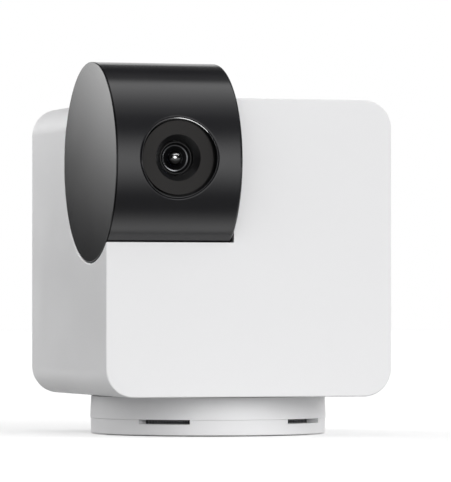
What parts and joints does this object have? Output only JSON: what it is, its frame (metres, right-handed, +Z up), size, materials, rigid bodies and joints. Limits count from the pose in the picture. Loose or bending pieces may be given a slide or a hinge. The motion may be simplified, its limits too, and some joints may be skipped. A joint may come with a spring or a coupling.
{
  "type": "pet camera",
  "caption": "Indoor pet camera: a rounded white cube that pans on a low round base, with a black camera drum let into its top corner that tilts.",
  "frame": {"origin": "on the pan axis, in the plane of the foot pad's underside", "axes": "+Z up along the pan axis, -Y out of the front face that the lens looks from, +X to the right seen from the front"},
  "size_m": [0.064, 0.0724, 0.0805],
  "materials": {
    "white_case": "fine satin moulded ABS",
    "black_drum": "polished black polycarbonate",
    "lens_trim": "moulded black",
    "dark_window": "smoked, lightly satin, passes infrared",
    "lens_metal": "black anodised",
    "lens_glass": "coated",
    "foot_rubber": "matt",
    "acetal": "natural moulded",
    "slip_washer": "low friction",
    "bronze": "sintered",
    "turned_metal": "turned",
    "sheet_metal": "zinc plated",
    "tin": "tinned",
    "steel": "hardened",
    "screw_metal": "nickel plated",
    "circuit_board": "green solder mask",
    "black_board": "black solder mask",
    "chip": "moulded epoxy",
    "light_body": "clear resin",
    "connector": "nylon",
    "lead_cover": "flexible PVC",
    "paper_cone": "pressed film",
    "microphone_case": "plain",
    "film": "polyimide film"
  },
  "bodies": {
    "base": {"base_housing": "white_case", "base_plate": "white_case", "foot_pad": "foot_rubber", "base_screws": "screw_metal", "pan_spindle": "turned_metal", "spindle_screws": "screw_metal", "pan_gear": "acetal", "pan_clip": "steel", "glide_washer": "slip_washer", "power_board": "circuit_board", "power_socket": "tin", "socket_tongue": "chip", "power_leads": "lead_cover"},
    "head": {"shell": "white_case", "pan_bush": "bronze", "tilt_bush": "bronze", "tilt_bracket": "sheet_metal", "bracket_screws": "screw_metal", "outer_bush": "bronze", "pan_motor": "sheet_metal", "tilt_motor": "sheet_metal", "motor_screws": "screw_metal", "rear_cover": "white_case", "rear_cover_screws": "screw_metal", "speaker": "sheet_metal", "speaker_cone": "paper_cone", "main_board": "circuit_board", "board_screws": "screw_metal", "processor_shield": "tin", "processor": "chip", "board_connectors": "connector", "motor_leads": "lead_cover", "camera_lead_to_board": "lead_cover", "reset_switch": "chip", "microphone": "microphone_case", "aerial": "film"},
    "camera_drum": {"drum_sleeve": "black_drum", "drum_cap": "black_drum", "tilt_shaft": "turned_metal", "drum_screws": "screw_metal", "tilt_gear": "acetal", "tilt_clip": "steel", "lens_bezel": "lens_trim", "lens_window": "dark_window", "lens_barrel": "lens_metal", "lens_glass": "lens_glass", "rear_lens": "lens_glass", "lens_holder": "lens_trim", "sensor_board": "circuit_board", "image_sensor": "chip", "infrared_board": "black_board", "infrared_lights": "light_body", "camera_lead": "lead_cover"},
    "pan_drive": {"pan_pinion": "acetal", "pan_motor_shaft": "steel"},
    "tilt_drive": {"tilt_pinion": "acetal", "tilt_motor_shaft": "steel"},
    "reset_key": {"reset_button": "white_case", "switch_plunger": "acetal"}
  },
  "joints": [
    {"name": "pan", "type": "hinge", "parent": "base", "child": "head", "pos_m": [0, 0, 0.0086], "axis": [0, 0, 1], "range_deg": [-175, 175]},
    {"name": "tilt", "type": "hinge", "parent": "head", "child": "camera_drum", "pos_m": [-0.018, -0.01838, 0.05906], "axis": [-1, 0, 0], "range_deg": [-25, 90]},
    {"name": "pan_pinion_turn", "type": "hinge", "parent": "head", "child": "pan_drive", "pos_m": [0.01018, -0.01018, 0.0137], "axis": [0, 0, 1], "range_deg": [-351, 351]},
    {"name": "tilt_pinion_turn", "type": "hinge", "parent": "head", "child": "tilt_drive", "pos_m": [0.0035, -0.00912, 0.04803], "axis": [-1, 0, 0], "range_deg": [-181, 51]},
    {"name": "reset_press", "type": "slide", "parent": "head", "child": "reset_key", "axis": [0, -1, 0], "range_m": [0, 0.0005], "stiffness_N_per_m": 400}
  ],
  "couplings": [
    {"joint": "pan_pinion_turn", "follows": "pan", "ratio": 2},
    {"joint": "tilt_pinion_turn", "follows": "tilt", "ratio": -2}
  ]
}
